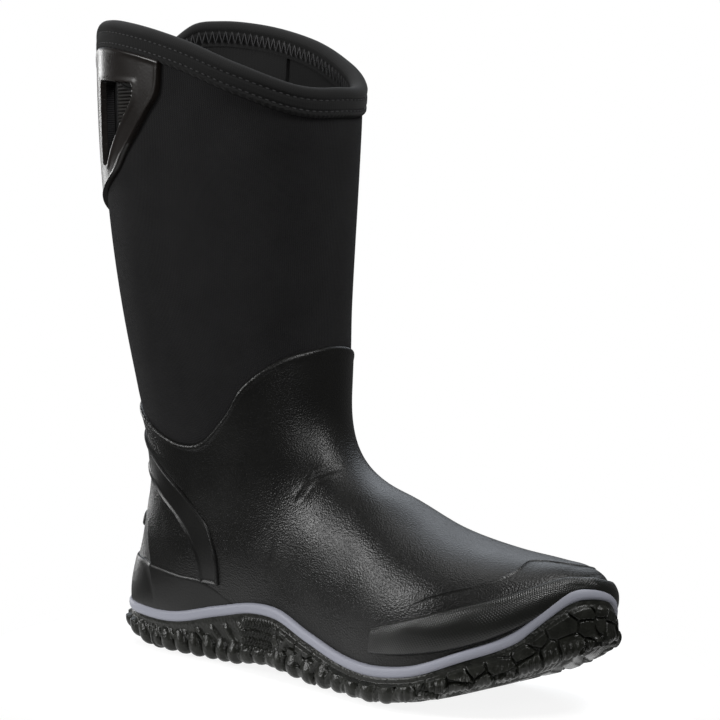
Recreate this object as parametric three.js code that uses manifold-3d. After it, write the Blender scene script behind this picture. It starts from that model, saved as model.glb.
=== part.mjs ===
// A right-foot pull-on rubber boot with a neoprene shaft, as separate pieces.
// Millimetres, +Z up, toe toward +X, the outer side of the foot toward -Y.
//
// Every piece follows one skin, the outermost surface of the rubber foot. A place on the skin is a
// direction round the boot (0 at the toe, 90 on the outer side, 180 at the heel) and a height.
// Layers lie at offsets from the skin along its normal, negative toward the foot inside.
import * as THREE from 'three';
import { mergeVertices } from 'three/addons/utils/BufferGeometryUtils.js';
import Module from 'manifold-3d';

const wasm = await Module();
wasm.setup();

// ---------------------------------------------------------------- driving dimensions
// The leg column: height, back edge, front edge, half width.
const LEG = [
  [0, -8, 112, 27], [25, -12, 113, 32], [60, -4, 117, 34], [100, 3, 123, 39], [140, -6, 122, 47],
  [190, -18, 121, 52.5], [250, -30, 122, 55.5], [310, -36, 124, 56.5], [370, -38, 128, 56],
];
// The foot: distance forward, top height, half width on the outer side, half width on the inner side,
// height of the shoulder where the upright side begins to round over.
const FOOT = [
  [30, 60, 26, 28, 32], [80, 93, 30, 31, 32], [130, 107, 38, 36, 34], [165, 100, 44, 40, 32],
  [200, 87, 51, 45, 32], [235, 79.5, 48, 48, 38], [262, 76.5, 33, 44, 45], [278, 74.5, 17, 36, 49],
  [286, 71, 7, 29.5, 51], [291, 66, -1, 22, 51], [294, 58, -7, 15, 50],
];
// Height of the tread's lower face above the floor: distance forward, height.
const SPRING = [
  [-12, 7], [15, 0], [80, 0], [115, 3], [150, 0], [200, 0], [240, 9], [270, 21], [295, 36],
];
const FOOT_START = 30;
const TOE_END = 294;
const FOOT_ROUNDNESS = 2.3;    // power of the foot's cross section
const LEG_ROUNDNESS = 2.15;    // power of the leg's cross section
const ANKLE_BLEND = 25;        // smoothing length between leg and foot

// Where the rays that measure the skin start: a line along the boot at each height.
const SPINE_BEHIND = 36;       // from the leg's back edge
const SPINE_FRONT = [
  [40, 254], [60, 244], [72, 222], [87, 162], [100, 124], [115, 92], [140, 81], [370, 86],
];

// Lines round the boot: direction in degrees from the toe, height. Both sides of the foot alike.
const STRIPE_LINE = [
  [0, 63], [14, 60], [25, 53], [37, 41], [50, 31], [62, 20], [70, 17], [78, 18],
  [88, 25], [98, 33], [106, 33], [116, 28], [128, 21], [145, 19.5], [180, 21],
];
const RUBBER_EDGE = [
  [0, 172], [20, 170], [35, 166], [48, 158], [58, 149], [68, 135], [77, 125], [88, 118],
  [100, 116], [115, 120], [130, 127], [150, 133], [180, 136],
];
const RIM = [
  [0, 308], [36, 310], [60, 320], [81, 331], [104, 338], [119, 339], [130, 337], [141, 328],
  [152, 320], [165, 316], [180, 315],
];
const TOE_CAP_EDGE = [
  [0, 76.5], [17, 73.5], [29, 70], [42, 65.5], [51, 62], [59, 57], [67, 47], [71, 37],
];
const BUMPER_TOP = [[0, 70.5], [21, 66.5], [37, 61], [51, 54.5], [60, 48.5], [68, 41.5], [72, 38]];
const BUMPER_BOTTOM = [[0, 66.5], [18, 60.5], [29, 53.5], [42, 43.8], [56, 34], [72, 28]];
// Lines up the boot: height, direction.
const HANDLE_EDGE = [
  [228, 175], [232, 162], [239, 146], [248, 128], [259, 113], [272, 105], [286, 98], [299, 93],
  [307, 90], [330, 88.5],
];
// The heel strap runs from the sole up over the back of the heel: outer line and inner line.
const STRAP_OUTER = [
  [115.5, 42], [115.8, 56], [116.3, 68], [116.8, 80], [118, 89], [121, 96.5], [127, 104],
  [137, 111.5], [155, 118.5], [180, 121],
];
const STRAP_INNER = [
  [120.5, 42], [122, 57], [124.5, 68], [128.5, 78.5], [134, 87], [141, 93], [150, 97.5],
  [163, 100], [180, 100.5],
];

const STRIPE_HEIGHT = 5.6;
const SEAM = 0.3;              // half the gap left where two pieces meet edge to edge
const PANEL_SEAM = 1.2;        // gap between a handle panel and the binding's edge
const BINDING_OUTSIDE = 15.5;
const BINDING_INSIDE = 14;

// Layers: [outer offset, inner offset].
const RUBBER = [0, -1.4];
const STIFFENER = [-2.1, -2.6];
const BOOTIE = [-3.4, -6.7];
const FOOT_LINING = [-7.1, -7.9];
const SHAFT = [-1.5, -5.9];
const SHAFT_LINING = [-6.2, -6.9];
const OUTER_HANDLE = [0.8, -0.7];
const INNER_HANDLE = [-7.8, -9.2];
const SEAM_TAPE = [-7.6, -8.2];
const OVERLAY = [1.9, 0.7];
const STRAP = [2.3, 1.3];
const BUMPER = [3.6, 2.5];
const SOLE_WALL = [1.6, -2.2];
const STRIPE = [1.9, -2.2];

// Heights above the tread's lower face.
const LUG_HEIGHT = 4.5;
const SOLE_FLOOR = 8.5;
const MIDSOLE_EDGE = -2.7;     // offset of the midsole's and the board's outline
const MIDSOLE_TOP = [[-12, 21], [60, 21], [110, 21], [170, 14.5], [200, 14.5], [240, 24], [295, 51]];
const BOARD_THICKNESS = 1.6;
const LAYER_GAP = 0.35;
const OUTLINE_HEIGHT = 45;     // no floor's outline is taken higher than this
const FOOTBED_EDGE = -13.4;    // room for the footbed to lift out
const FOOTBED_FOAM = 4;
const FOOTBED_COVER = 0.8;

const SHANK = { from: 55, to: 150, halfWidth: 8, thickness: 1.2, clearance: 0.4 };
const SLOT = { top: 306, bottom: 262, back: 121, front: 100, corner: 1.6, depth: 30 };
const BADGE = { low: 61, high: 73, from: 152 };
const LUGS = { count: 32, length: 15, width: 8.5, rise: 13, overhang: 1.4 };

const COLUMNS = 36;
const FOOT_ROWS = 9;
const FOOT_LEAN = 1.9;
const DEGREE = Math.PI / 180;

// ---------------------------------------------------------------- the skin
/** Smooth value of one column of a table at t; flat beyond its ends. */
function along(rows, t, column = 1) {
  const last = rows.length - 1;
  const at = Math.min(Math.max(t, rows[0][0]), rows[last][0]);
  let i = 0;
  while (i < last - 1 && at > rows[i + 1][0]) i += 1;
  const chord = (k) => (rows[k + 1][column] - rows[k][column]) / (rows[k + 1][0] - rows[k][0]);
  const slope = (k) => {
    if (k === 0) return chord(0);
    if (k === last) return chord(last - 1);
    const before = rows[k][0] - rows[k - 1][0];
    const after = rows[k + 1][0] - rows[k][0];
    return (chord(k - 1) * after + chord(k) * before) / (before + after);
  };
  const step = rows[i + 1][0] - rows[i][0];
  const s = (at - rows[i][0]) / step;
  const rise = s * s * (3 - 2 * s);
  const bend = slope(i) * s * (1 - s) ** 2 - slope(i + 1) * s * s * (1 - s);
  return rows[i][column] + (rows[i + 1][column] - rows[i][column]) * rise + step * bend;
}

const clamp = THREE.MathUtils.clamp;

/** Distance-like value of the leg column: negative inside. */
function legField(x, y, z) {
  const back = along(LEG, z, 1);
  const front = along(LEG, z, 2);
  const halfWidth = along(LEG, z, 3);
  const halfLength = (front - back) / 2;
  const u = Math.abs(x - (front + back) / 2) / halfLength;
  const v = Math.abs(y) / halfWidth;
  const reach = (u ** LEG_ROUNDNESS + v ** LEG_ROUNDNESS) ** (1 / LEG_ROUNDNESS);
  return (reach - 1) * Math.min(halfLength, halfWidth);
}

/** Distance-like value of the foot: negative inside. */
function footField(x, y, z) {
  const outer = along(FOOT, x, 2);
  const inner = along(FOOT, x, 3);
  const halfWidth = Math.max((outer + inner) / 2, 2);
  const shoulder = along(FOOT, x, 4);
  const u = Math.abs(y - (inner - outer) / 2) / halfWidth;
  const v = Math.max(z - shoulder, 0) / Math.max(along(FOOT, x, 1) - shoulder, 4);
  const reach = (u ** FOOT_ROUNDNESS + v ** FOOT_ROUNDNESS) ** (1 / FOOT_ROUNDNESS);
  return Math.max((reach - 1) * halfWidth, x - TOE_END, FOOT_START - x);
}

/** Leg and foot joined smoothly. */
function skinField(x, y, z) {
  const leg = legField(x, y, z);
  const foot = footField(x, y, z);
  const blend = ANKLE_BLEND * clamp((z - 20) / 40, 0.15, 1);
  const share = clamp(0.5 + (foot - leg) / (2 * blend), 0, 1);
  return foot + (leg - foot) * share - blend * share * (1 - share);
}

/** Start of the ray that measures the skin in one direction at one height. */
function spine(theta, z) {
  const back = along(LEG, z, 1) + SPINE_BEHIND;
  const x = back + (along(SPINE_FRONT, z) - back) * (1 + Math.cos(theta)) / 2;
  const y = (along(FOOT, x, 3) - along(FOOT, x, 2)) / 2 * clamp((x - 120) / 80, 0, 1);
  return new THREE.Vector3(x, y, z);
}

/** Point at a given offset from the skin. theta in degrees. */
function skin(degrees, z, offset = 0) {
  const theta = degrees * DEGREE;
  const start = spine(theta, z);
  const ray = new THREE.Vector3(Math.cos(theta), -Math.sin(theta), 0);
  let near = 0;
  let far = 140;
  for (let i = 0; i < 30; i += 1) {
    const middle = (near + far) / 2;
    const inside = skinField(start.x + middle * ray.x, start.y + middle * ray.y, z) < 0;
    if (inside) near = middle;
    else far = middle;
  }
  const point = start.addScaledVector(ray, near);
  return offset === 0 ? point : point.addScaledVector(skinNormal(point), offset);
}

function skinNormal({ x, y, z }) {
  const h = 0.5;
  return new THREE.Vector3(
    skinField(x + h, y, z) - skinField(x - h, y, z),
    skinField(x, y + h, z) - skinField(x, y - h, z),
    skinField(x, y, z + h) - skinField(x, y, z - h),
  ).normalize();
}

/** Height of a line round the boot, alike on both sides. */
function line(rows, degrees) {
  const turned = ((degrees % 360) + 360) % 360;
  return along(rows, turned > 180 ? 360 - turned : turned);
}

const stripeTop = (a) => line(STRIPE_LINE, a) + STRIPE_HEIGHT / 2 + SEAM;
const stripeBottom = (a) => line(STRIPE_LINE, a) - STRIPE_HEIGHT / 2 - SEAM;
const treadHeight = (x) => Math.max(0, along(SPRING, x));
const midsoleTop = (x) => along(MIDSOLE_TOP, x);
const rubberTop = (a) => line(RUBBER_EDGE, a) - SEAM;
/** Height on the rubber foot: v runs from 0 at the stripe to 1 at the top edge, closer low down. */
const footHeight = (a, v) => stripeTop(a) + (rubberTop(a) - stripeTop(a)) * v ** FOOT_LEAN;

// ---------------------------------------------------------------- solids from grids
/** Geometry of a closed body from points and triangles, turned to face outward. */
function body(points, triangles) {
  let geometry = new THREE.BufferGeometry();
  const flat = points.flatMap((p) => [p.x, p.y, p.z]);
  geometry.setAttribute('position', new THREE.Float32BufferAttribute(flat, 3));
  geometry.setIndex(triangles.flat());
  geometry = mergeVertices(geometry, 1e-3);
  const index = geometry.index.array;
  const kept = [];
  for (let i = 0; i < index.length; i += 3) {
    const [a, b, c] = [index[i], index[i + 1], index[i + 2]];
    if (a !== b && b !== c && c !== a) kept.push([a, b, c]);
  }
  const position = geometry.attributes.position;
  const corner = (i) => new THREE.Vector3().fromBufferAttribute(position, i);
  const volume = kept.reduce((sum, [a, b, c]) => sum + corner(a).dot(corner(b).cross(corner(c))), 0);
  geometry.setIndex(kept.flatMap(([a, b, c]) => (volume < 0 ? [a, c, b] : [a, b, c])));
  return geometry;
}

/** A sheet between an outer and an inner grid of rows. wraps: columns go right round.
 *  zipped: both first rows meet themselves on the boot's middle line. */
function sheet(outer, inner, { wraps = true, zipped = false } = {}) {
  const rows = outer.length;
  const columns = outer[0].length;
  const points = [...outer.flat(), ...inner.flat()];
  const out = (i, j) => i * columns + (j % columns);
  const into = (i, j) => rows * columns + out(i, j);
  const triangles = [];
  const quad = (a, b, c, d) => triangles.push([a, b, c], [a, c, d]);
  const spans = wraps ? columns : columns - 1;
  for (let j = 0; j < spans; j += 1) {
    for (let i = 0; i < rows - 1; i += 1) {
      quad(out(i, j), out(i, j + 1), out(i + 1, j + 1), out(i + 1, j));
      quad(into(i, j), into(i + 1, j), into(i + 1, j + 1), into(i, j + 1));
    }
    quad(out(rows - 1, j), out(rows - 1, j + 1), into(rows - 1, j + 1), into(rows - 1, j));
    if (!zipped) quad(out(0, j + 1), out(0, j), into(0, j), into(0, j + 1));
  }
  if (!wraps) {
    const end = columns - 1;
    for (let i = 0; i < rows - 1; i += 1) {
      quad(out(i, 0), out(i + 1, 0), into(i + 1, 0), into(i, 0));
      quad(out(i + 1, end), out(i, end), into(i, end), into(i + 1, end));
    }
  }
  return body(points, triangles);
}

const steps = (count) => Array.from({ length: count + 1 }, (_, i) => i / count);
const directions = Array.from({ length: COLUMNS }, (_, j) => (j * 360) / COLUMNS);

/** Rows of points on the skin from one line up to another; closer together low down. */
function wallRows(low, high, offset, count, lean = 1) {
  return steps(count).map((v) => directions.map((a) => {
    const height = low(a) + (high(a) - low(a)) * v ** lean;
    return skin(a, height, offset);
  }));
}

/** A layer that goes right round the boot. */
function wallLayer(low, high, [outer, inner], count, lean) {
  return sheet(wallRows(low, high, outer, count, lean), wallRows(low, high, inner, count, lean));
}

/** A layer over part of the boot: place(t, v) gives direction and height for t and v from 0 to 1. */
function patchLayer(place, [outer, inner], across, up) {
  const row = (offset, v) => steps(across).map((t) => skin(...place(t, v), offset));
  const grid = (offset) => steps(up).map((v) => row(offset, v));
  return sheet(grid(outer), grid(inner), { wraps: false });
}

/** Rows of a floor inside an outline, from the middle line out to the edge. */
function floorRows(offset, height, count) {
  return steps(count).map((r) => directions.map((a) => {
    const level = Math.min(stripeBottom(a), OUTLINE_HEIGHT);
    const edge = skin(a, level, offset);
    const start = spine(a * DEGREE, level);
    const x = start.x + (edge.x - start.x) * r;
    const y = start.y + (edge.y - start.y) * r;
    return new THREE.Vector3(x, y, height(x));
  }));
}

/** A slab that fills an outline between two heights. */
function slab(offset, bottom, top, count = 2) {
  return sheet(floorRows(offset, bottom, count), floorRows(offset, top, count), { zipped: true });
}

/** A sock: a floor and a wall in one. Its wall's rows match the rubber foot's, above the floor. */
function sock([outer, inner], floor) {
  const rows = (offset, height) => [
    ...floorRows(offset - 1.5, height, 2),
    ...steps(FOOT_ROWS).map((v, i) => directions.map((a) => {
      const base = height(skin(a, stripeBottom(a), offset).x) + 2;
      return skin(a, Math.max(footHeight(a, v), base + 0.3 * i), offset);
    })),
  ];
  return sheet(rows(outer, floor), rows(inner, (x) => floor(x) + outer - inner), { zipped: true });
}

// ---------------------------------------------------------------- cuts and joins
function toManifold(geometry) {
  const bare = new THREE.BufferGeometry();
  bare.setAttribute('position', geometry.attributes.position.clone());
  if (geometry.index) bare.setIndex(geometry.index.clone());
  const merged = mergeVertices(bare, 1e-4);
  return new wasm.Manifold(new wasm.Mesh({
    numProp: 3,
    vertProperties: new Float32Array(merged.attributes.position.array),
    triVerts: new Uint32Array(merged.index.array),
  }));
}

function fromManifold(solid) {
  const mesh = solid.getMesh();
  const geometry = new THREE.BufferGeometry();
  geometry.setAttribute('position', new THREE.BufferAttribute(mesh.vertProperties, 3));
  geometry.setIndex(new THREE.BufferAttribute(mesh.triVerts, 1));
  return geometry;
}

/** The geometry less every tool. */
function cut(geometry, tools) {
  return fromManifold(tools.reduce((rest, tool) => rest.subtract(tool), toManifold(geometry)));
}

/** Outline with rounded corners through the given points. */
function roundedShape(corners, radius) {
  const shape = new THREE.Shape();
  const count = corners.length;
  corners.forEach((corner, i) => {
    const before = corners[(i + count - 1) % count];
    const after = corners[(i + 1) % count];
    const entry = corner.clone().add(before.clone().sub(corner).setLength(radius));
    const exit = corner.clone().add(after.clone().sub(corner).setLength(radius));
    if (i === 0) shape.moveTo(entry.x, entry.y);
    else shape.lineTo(entry.x, entry.y);
    shape.quadraticCurveTo(corner.x, corner.y, exit.x, exit.y);
  });
  shape.closePath();
  return shape;
}

/** Tool that cuts one finger slot; side is 1 on the outer side of the foot and -1 on the inner. */
function slotTool(side) {
  const middleHeight = (SLOT.top + SLOT.bottom) / 2;
  const middleDirection = (SLOT.back + SLOT.front) / 2;
  const centre = skin(side * middleDirection, middleHeight);
  const normal = skinNormal(centre).setZ(0).normalize();
  const sideways = new THREE.Vector3(-normal.y, normal.x, 0);
  const flat = (degrees, height) => {
    const point = skin(side * degrees, height).sub(centre);
    return new THREE.Vector2(point.dot(sideways), height - middleHeight);
  };
  const corners = [
    flat(SLOT.back, SLOT.top), flat(SLOT.front, SLOT.top), flat(SLOT.front, SLOT.top - 8),
    flat(SLOT.back - 3, SLOT.bottom), flat(SLOT.back, SLOT.bottom),
  ];
  const shape = roundedShape(side > 0 ? corners : corners.reverse(), SLOT.corner);
  const straight = { depth: SLOT.depth, bevelEnabled: false, curveSegments: 3 };
  const prism = new THREE.ExtrudeGeometry(shape, straight);
  prism.translate(0, 0, -SLOT.depth / 2);
  const up = new THREE.Vector3(0, 0, 1);
  prism.applyMatrix4(new THREE.Matrix4().makeBasis(sideways, up, normal.clone().negate()));
  prism.translate(centre.x, centre.y, centre.z);
  return toManifold(facingOut(prism));
}

/** The same body with its faces turned outward if they faced in. */
function facingOut(geometry) {
  const position = geometry.attributes.position;
  const corner = (_, i) => new THREE.Vector3().fromBufferAttribute(position, i);
  const points = Array.from({ length: position.count }, corner);
  const index = geometry.index ? Array.from(geometry.index.array) : points.map((_, i) => i);
  const triangles = [];
  for (let i = 0; i < index.length; i += 3) triangles.push([index[i], index[i + 1], index[i + 2]]);
  return body(points, triangles);
}

// ---------------------------------------------------------------- sole
/** One tread lug: a block that runs in from the sole's edge and up its side. */
function lug(degrees) {
  const edge = skin(degrees, stripeBottom(degrees), SOLE_WALL[0] + LUGS.overhang);
  const normal = skinNormal(edge).setZ(0).normalize();
  const inward = LUGS.length / 2;
  const x = edge.x - normal.x * inward;
  const ceiling = Math.min(...[-6, 0, 6].map((turn) => stripeBottom(degrees + turn))) - SEAM;
  const rise = Math.min(LUGS.rise, ceiling - treadHeight(x));
  const block = new THREE.BoxGeometry(LUGS.length, LUGS.width, rise);
  block.rotateZ(Math.atan2(normal.y, normal.x));
  block.translate(x, edge.y - normal.y * inward, treadHeight(x) + rise / 2);
  return toManifold(block);
}

/** Bars across the middle of the tread, under the heel and under the ball. */
function treadBars() {
  const places = [[14, 34, 3], [165, 225, 4]].flatMap(([from, to, gaps]) => (
    steps(gaps).map((t) => from + (to - from) * t)));
  return places.map((x) => {
    const bar = new THREE.BoxGeometry(9, x < 100 ? 22 : 56, LUG_HEIGHT + 1.5);
    bar.translate(x, 0, treadHeight(x) + (LUG_HEIGHT + 1.5) / 2);
    return toManifold(bar);
  });
}

function outsole() {
  const under = (x) => treadHeight(x) + LUG_HEIGHT;
  const floor = (x) => treadHeight(x) + SOLE_FLOOR;
  const side = (offset, height) => wallRows(
    (a) => height(skin(a, stripeBottom(a), offset).x) + 1.5, stripeBottom, offset, 2);
  const tray = sheet(
    [...floorRows(SOLE_WALL[0] - 1.5, under, 2), ...side(SOLE_WALL[0], under)],
    [...floorRows(SOLE_WALL[1] - 0.5, floor, 2), ...side(SOLE_WALL[1], floor)],
    { zipped: true },
  );
  const round = Array.from({ length: LUGS.count }, (_, i) => lug(((i + 0.5) * 360) / LUGS.count));
  const hollow = toManifold(sheet(
    floorRows(SOLE_WALL[1] - 0.5, floor, 2),
    floorRows(SOLE_WALL[1] - 0.5, (x) => floor(x) + 40, 2),
    { zipped: true },
  ));
  const stripeRoom = toManifold(wallLayer(stripeBottom, stripeTop, [6, -2.6], 1));
  const joined = [...round, ...treadBars()].reduce((sum, extra) => sum.add(extra), toManifold(tray));
  const bodies = joined.subtract(hollow).subtract(stripeRoom).decompose();
  return fromManifold(bodies.reduce((most, one) => (one.volume() > most.volume() ? one : most)));
}

const stripe = () => wallLayer(
  (a) => line(STRIPE_LINE, a) - STRIPE_HEIGHT / 2,
  (a) => line(STRIPE_LINE, a) + STRIPE_HEIGHT / 2, STRIPE, 1);

/** A strip along the shank's length between two heights. */
function shankStrip(margin, low, high) {
  const from = SHANK.from - margin;
  const to = SHANK.to + margin;
  const halfWidth = SHANK.halfWidth + margin;
  const places = steps(8).map((t) => from + (to - from) * t);
  const row = (y, height) => places.map((x) => new THREE.Vector3(x, y, height(x)));
  return sheet([row(-halfWidth, low), row(halfWidth, low)], [row(-halfWidth, high), row(halfWidth, high)],
    { wraps: false });
}

const shankTop = (x) => midsoleTop(x) - 0.1;
const shank = () => shankStrip(0, (x) => shankTop(x) - SHANK.thickness, shankTop);

function midsole() {
  const whole = slab(MIDSOLE_EDGE, (x) => treadHeight(x) + SOLE_FLOOR + 2 * LAYER_GAP, midsoleTop);
  const pocket = shankStrip(SHANK.clearance,
    (x) => shankTop(x) - SHANK.thickness - SHANK.clearance, (x) => midsoleTop(x) + 3);
  return cut(whole, [toManifold(pocket)]);
}

// ---------------------------------------------------------------- inside the foot
const boardBottom = (x) => midsoleTop(x) + LAYER_GAP;
const bootieFloor = (x) => boardBottom(x) + BOARD_THICKNESS + LAYER_GAP;
const liningFloor = (x) => bootieFloor(x) + (BOOTIE[0] - BOOTIE[1]) + LAYER_GAP;
const footbedFloor = (x) => liningFloor(x) + (FOOT_LINING[0] - FOOT_LINING[1]) + 2 * LAYER_GAP;
const coverFloor = (x) => footbedFloor(x) + FOOTBED_FOAM + LAYER_GAP;
const rimLess = (drop) => (a) => line(RIM, a) - drop;

const insoleBoard = () => slab(MIDSOLE_EDGE - 0.6, boardBottom, (x) => boardBottom(x) + BOARD_THICKNESS);
const bootie = () => sock(BOOTIE, bootieFloor);
const footLining = () => sock(FOOT_LINING, liningFloor);
const footbed = () => slab(FOOTBED_EDGE, footbedFloor, (x) => footbedFloor(x) + FOOTBED_FOAM);
const footbedCover = () => slab(FOOTBED_EDGE, coverFloor, (x) => coverFloor(x) + FOOTBED_COVER);

// ---------------------------------------------------------------- the rubber foot
function footShell() {
  const row = (offset, v) => directions.map((a) => skin(a, footHeight(a, v), offset));
  const rows = (offset) => steps(FOOT_ROWS).map((v) => row(offset, v));
  return sheet(rows(RUBBER[0]), rows(RUBBER[1]));
}

/** Layer over part of the foot between two lines, on the same rows and columns as the rubber foot. */
function footBand(from, to, low, high, layer) {
  const span = 360 / COLUMNS;
  const across = Math.round((to - from) / span);
  return patchLayer((t, v) => {
    const a = from + (to - from) * t;
    return [a, clamp(footHeight(a, v), low(a), high(a))];
  }, layer, across, FOOT_ROWS);
}

/** Overlay between two heights over a span of directions. */
function band(from, to, low, high, layer, across, up) {
  return patchLayer((t, v) => {
    const a = from + (to - from) * t;
    return [a, low(a) + (high(a) - low(a)) * v];
  }, layer, across, up);
}

const toeCap = () => footBand(-70, 70, stripeTop, (a) => line(TOE_CAP_EDGE, a), OVERLAY);
const toeBumper = () => footBand(
  -70, 70, (a) => line(BUMPER_BOTTOM, a), (a) => line(BUMPER_TOP, a), BUMPER);
const heelBand = () => footBand(130, 230, stripeTop, () => 48, OVERLAY);

/** Stiffeners between the rubber and the bootie. */
const toePuff = () => footBand(-60, 60, stripeTop, (a) => footHeight(a, 3 / FOOT_ROWS), STIFFENER);
const heelStiffener = () => footBand(130, 230, () => 36, () => 80, STIFFENER);

const heelBadge = () => band(
  BADGE.from, 360 - BADGE.from, () => BADGE.low, () => BADGE.high, OVERLAY, 6, 1);

/** The strap's two lines, one parameter from the outer side over the back to the inner side. */
function strapLine(rows, t) {
  const half = t < 0.5 ? t * 2 : (1 - t) * 2;
  const place = half * (rows.length - 1);
  const i = Math.min(Math.floor(place), rows.length - 2);
  const share = place - i;
  const direction = rows[i][0] + (rows[i + 1][0] - rows[i][0]) * share;
  const height = rows[i][1] + (rows[i + 1][1] - rows[i][1]) * share;
  return [t < 0.5 ? direction : 360 - direction, height];
}

const heelStrap = () => patchLayer((t, v) => {
  const [outerDirection, outerHeight] = strapLine(STRAP_OUTER, t);
  const [innerDirection, innerHeight] = strapLine(STRAP_INNER, t);
  const direction = innerDirection + (outerDirection - innerDirection) * v;
  return [direction, innerHeight + (outerHeight - innerHeight) * v];
}, STRAP, 24, 2);

// ---------------------------------------------------------------- shaft and collar
const slots = [slotTool(1), slotTool(-1)];
const shaftBottom = (a) => line(RUBBER_EDGE, a) + SEAM;
const shaft = () => cut(wallLayer(shaftBottom, rimLess(3), SHAFT, 5), slots);
const shaftLining = () => cut(wallLayer(shaftBottom, rimLess(3), SHAFT_LINING, 5), slots);

/** A V-shaped panel over the back of the shaft, up to the binding. */
function handlePanel(layer, drop, inset) {
  const base = HANDLE_EDGE[0][0] + inset;
  const widest = 100;
  return cut(patchLayer((t, v) => {
    const share = v ** 1.8;
    const reach = 180 - along(HANDLE_EDGE, base + (HANDLE_EDGE.at(-1)[0] - base) * share) - inset / 2;
    const direction = 180 + clamp((2 * t - 1) * widest, -reach, reach);
    return [direction, base + (line(RIM, direction) - drop - base) * share];
  }, layer, (2 * widest * COLUMNS) / 360, 9), slots);
}

/** Tape folded over the shaft's top edge: [offset, depth below the rim] round its section. */
function binding() {
  const outside = [
    [-0.1, BINDING_OUTSIDE], [-0.1, 3], [-2.2, 0.4], [-6.4, 0.4], [-8.6, 3], [-8.6, BINDING_INSIDE],
  ];
  const inside = [
    [-1.1, BINDING_OUTSIDE], [-1.1, 2.5], [-3, 2], [-6, 2], [-7.5, 2.5], [-7.5, BINDING_INSIDE],
  ];
  const row = ([offset, depth]) => directions.map((a) => skin(a, line(RIM, a) - depth, offset));
  const rows = (section) => section.map(row);
  return sheet(rows(outside), rows(inside));
}

const seamTape = () => band(172, 188, () => 148, () => 222, SEAM_TAPE, 2, 4);

// ---------------------------------------------------------------- the boot
const rubber = { color: 0x242423, roughness: 0.42, metalness: 0 };
const glossRubber = { color: 0x1c1b1a, roughness: 0.28, metalness: 0 };
const neoprene = { color: 0x222223, roughness: 0.95, metalness: 0 };
const jersey = { color: 0x1b1b1c, roughness: 1, metalness: 0 };
const foam = { color: 0x3a3a3d, roughness: 0.9, metalness: 0 };
const board = { color: 0x8f7f66, roughness: 0.9, metalness: 0 };
const steel = { color: 0x9a9ca0, roughness: 0.35, metalness: 1 };
const lavender = { color: 0x9a9ab0, roughness: 0.55, metalness: 0 };

const pieces = [
  ['outsole', outsole, glossRubber],
  ['foxing_stripe', stripe, lavender],
  ['midsole', midsole, foam],
  ['shank', shank, steel],
  ['insole_board', insoleBoard, board],
  ['foot_bootie', bootie, neoprene],
  ['foot_lining', footLining, jersey],
  ['footbed_foam', footbed, foam],
  ['footbed_cover', footbedCover, jersey],
  ['toe_puff', toePuff, board],
  ['heel_stiffener', heelStiffener, board],
  ['foot_shell', footShell, rubber],
  ['toe_cap', toeCap, rubber],
  ['toe_bumper', toeBumper, rubber],
  ['heel_band', heelBand, rubber],
  ['heel_strap', heelStrap, rubber],
  ['heel_badge', heelBadge, rubber],
  ['shaft_neoprene', shaft, neoprene],
  ['shaft_lining', shaftLining, jersey],
  ['handle_panel', () => handlePanel(OUTER_HANDLE, BINDING_OUTSIDE + PANEL_SEAM, 0), glossRubber],
  ['inner_handle_panel', () => handlePanel(INNER_HANDLE, BINDING_INSIDE + PANEL_SEAM, 3), rubber],
  ['back_seam_tape', seamTape, jersey],
  ['collar_binding', binding, jersey],
];

const group = new THREE.Group();
for (const [name, make, look] of pieces) {
  const mesh = new THREE.Mesh(make(), new THREE.MeshStandardMaterial(look));
  mesh.name = name;
  group.add(mesh);
}

// The boot stands on the origin: middle of its box in X and Y, tread on Z = 0.
const box = new THREE.Box3().setFromObject(group);
group.position.set(-(box.min.x + box.max.x) / 2, -(box.min.y + box.max.y) / 2, -box.min.z);

export default group;
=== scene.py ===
import math
import bmesh
import bpy
import numpy as np
from mathutils import Matrix, Vector

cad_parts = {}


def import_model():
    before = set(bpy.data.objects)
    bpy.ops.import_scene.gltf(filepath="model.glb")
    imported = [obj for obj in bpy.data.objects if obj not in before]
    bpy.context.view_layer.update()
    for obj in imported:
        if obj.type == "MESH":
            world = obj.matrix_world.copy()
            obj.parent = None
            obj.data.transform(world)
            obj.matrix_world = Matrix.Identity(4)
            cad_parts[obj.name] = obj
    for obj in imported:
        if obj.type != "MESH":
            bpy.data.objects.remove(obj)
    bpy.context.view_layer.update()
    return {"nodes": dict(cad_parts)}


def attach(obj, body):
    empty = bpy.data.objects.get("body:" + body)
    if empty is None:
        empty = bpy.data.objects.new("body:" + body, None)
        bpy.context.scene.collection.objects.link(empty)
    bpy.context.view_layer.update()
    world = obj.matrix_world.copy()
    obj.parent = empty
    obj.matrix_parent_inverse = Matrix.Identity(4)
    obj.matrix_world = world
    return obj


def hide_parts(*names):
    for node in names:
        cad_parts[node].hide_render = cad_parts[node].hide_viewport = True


# A right-foot pull-on boot: rubber foot on a lugged sole, neoprene shaft, bound collar.
#
# Sizes are millimetres from the heel datum (x forward, the outer side toward -y, z up) until
# solid() turns them into metres in the frame. A place on the boot is a direction round it in
# degrees (0 at the toe, 90 on the outer side, 180 at the heel) and a height. Layers are offsets
# from the skin, the outermost surface of the rubber foot, negative toward the foot inside.

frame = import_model()

# ---------------------------------------------------------------- the boot's lines
DATUM = np.array([132.076, 0.0, 0.0])  # the frame's origin, from the heel datum

# Height, back edge, front edge, half width of the leg.
LEG = [
    (0, -8, 112, 27), (25, -12, 113, 32), (60, -4, 117, 34), (100, 3, 123, 39),
    (140, -6, 122, 47), (190, -18, 121, 52.5), (250, -30, 122, 55.5), (310, -36, 124, 56.5),
    (370, -38, 128, 56),
]
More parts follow.
